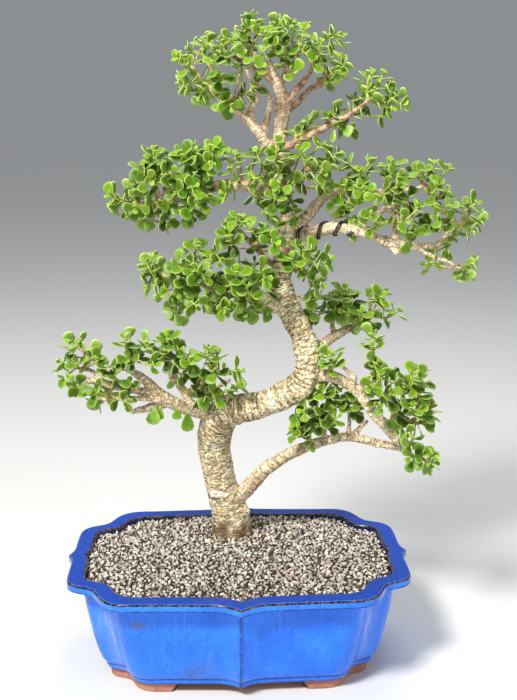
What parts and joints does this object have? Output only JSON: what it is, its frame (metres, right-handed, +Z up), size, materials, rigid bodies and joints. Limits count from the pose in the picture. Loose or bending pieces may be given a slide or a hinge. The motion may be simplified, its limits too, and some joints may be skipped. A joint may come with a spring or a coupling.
{
  "type": "dwarf jade bonsai",
  "caption": "Potted succulent bonsai: curved thick trunk, spreading branches with small round fleshy leaves, in a lobed blue glazed pot on short feet.",
  "frame": {"origin": "on the standing surface, under the middle of the whole object", "axes": "+Z up; +X to the right along the pot's long side; the front of the tree and pot faces -Y"},
  "size_m": [0.4384, 0.274, 0.6641],
  "materials": {
    "blue_glaze": "glossy cobalt glaze over brown clay, breaking dark on the edges, bare clay feet",
    "bark": "pale corky bark with fine cracks and rings",
    "jade_foliage": "smooth, slightly glossy fleshy leaves on thin red-brown twigs",
    "grit": "dry angular grey and buff grit",
    "soil": "damp open bonsai soil",
    "drain_mesh": "plain plastic mesh",
    "black_wire": "dark coated training wire"
  },
  "bodies": {
    "root": {"apex_crown_spray": "jade_foliage", "apex_left_branch": "bark", "apex_left_front_spray": "jade_foliage", "apex_left_high_spray": "jade_foliage", "apex_left_tip_spray": "jade_foliage", "apex_rear_spray": "jade_foliage", "apex_right_spray": "jade_foliage", "apex_top_spray": "jade_foliage", "branch_wire": "black_wire", "centre_left_spray": "jade_foliage", "centre_right_spray": "jade_foliage", "drain_mesh_left": "drain_mesh", "drain_mesh_right": "drain_mesh", "lower_left_branch": "bark", "lower_left_crown_spray": "jade_foliage", "lower_left_front_spray": "jade_foliage", "lower_left_inner_spray": "jade_foliage", "lower_left_rise_spray": "jade_foliage", "lower_left_tip_spray": "jade_foliage", "lower_right_branch": "bark", "lower_right_front_spray": "jade_foliage", "lower_right_high_spray": "jade_foliage", "lower_right_rise_spray": "jade_foliage", "lower_right_tip_spray": "jade_foliage", "middle_front_spray": "jade_foliage", "middle_left_branch": "bark", "middle_left_front_spray": "jade_foliage", "middle_left_high_spray": "jade_foliage", "middle_left_low_spray": "jade_foliage", "middle_left_root_spray": "jade_foliage", "middle_left_tip_spray": "jade_foliage", "middle_upper_spray": "jade_foliage", "pot": "blue_glaze", "right_back_branch": "bark", "right_back_rise_spray": "jade_foliage", "right_back_tip_spray": "jade_foliage", "right_mid_branch": "bark", "right_mid_front_spray": "jade_foliage", "right_mid_high_spray": "jade_foliage", "right_mid_rise_spray": "jade_foliage", "right_mid_tip_spray": "jade_foliage", "soil": "soil", "top_dressing": "grit", "top_right_spray": "jade_foliage", "trunk": "bark", "upper_left_branch": "bark", "upper_left_crown_spray": "jade_foliage", "upper_left_front_spray": "jade_foliage", "upper_left_high_spray": "jade_foliage", "upper_left_root_spray": "jade_foliage", "upper_left_tip_spray": "jade_foliage", "upper_right_branch": "bark", "upper_right_high_spray": "jade_foliage", "upper_right_root_spray": "jade_foliage", "upper_right_tip_spray": "jade_foliage", "wired_right_branch": "bark", "wired_right_low_spray": "jade_foliage", "wired_right_rise_spray": "jade_foliage", "wired_right_tip_spray": "jade_foliage"}
  },
  "joints": []
}
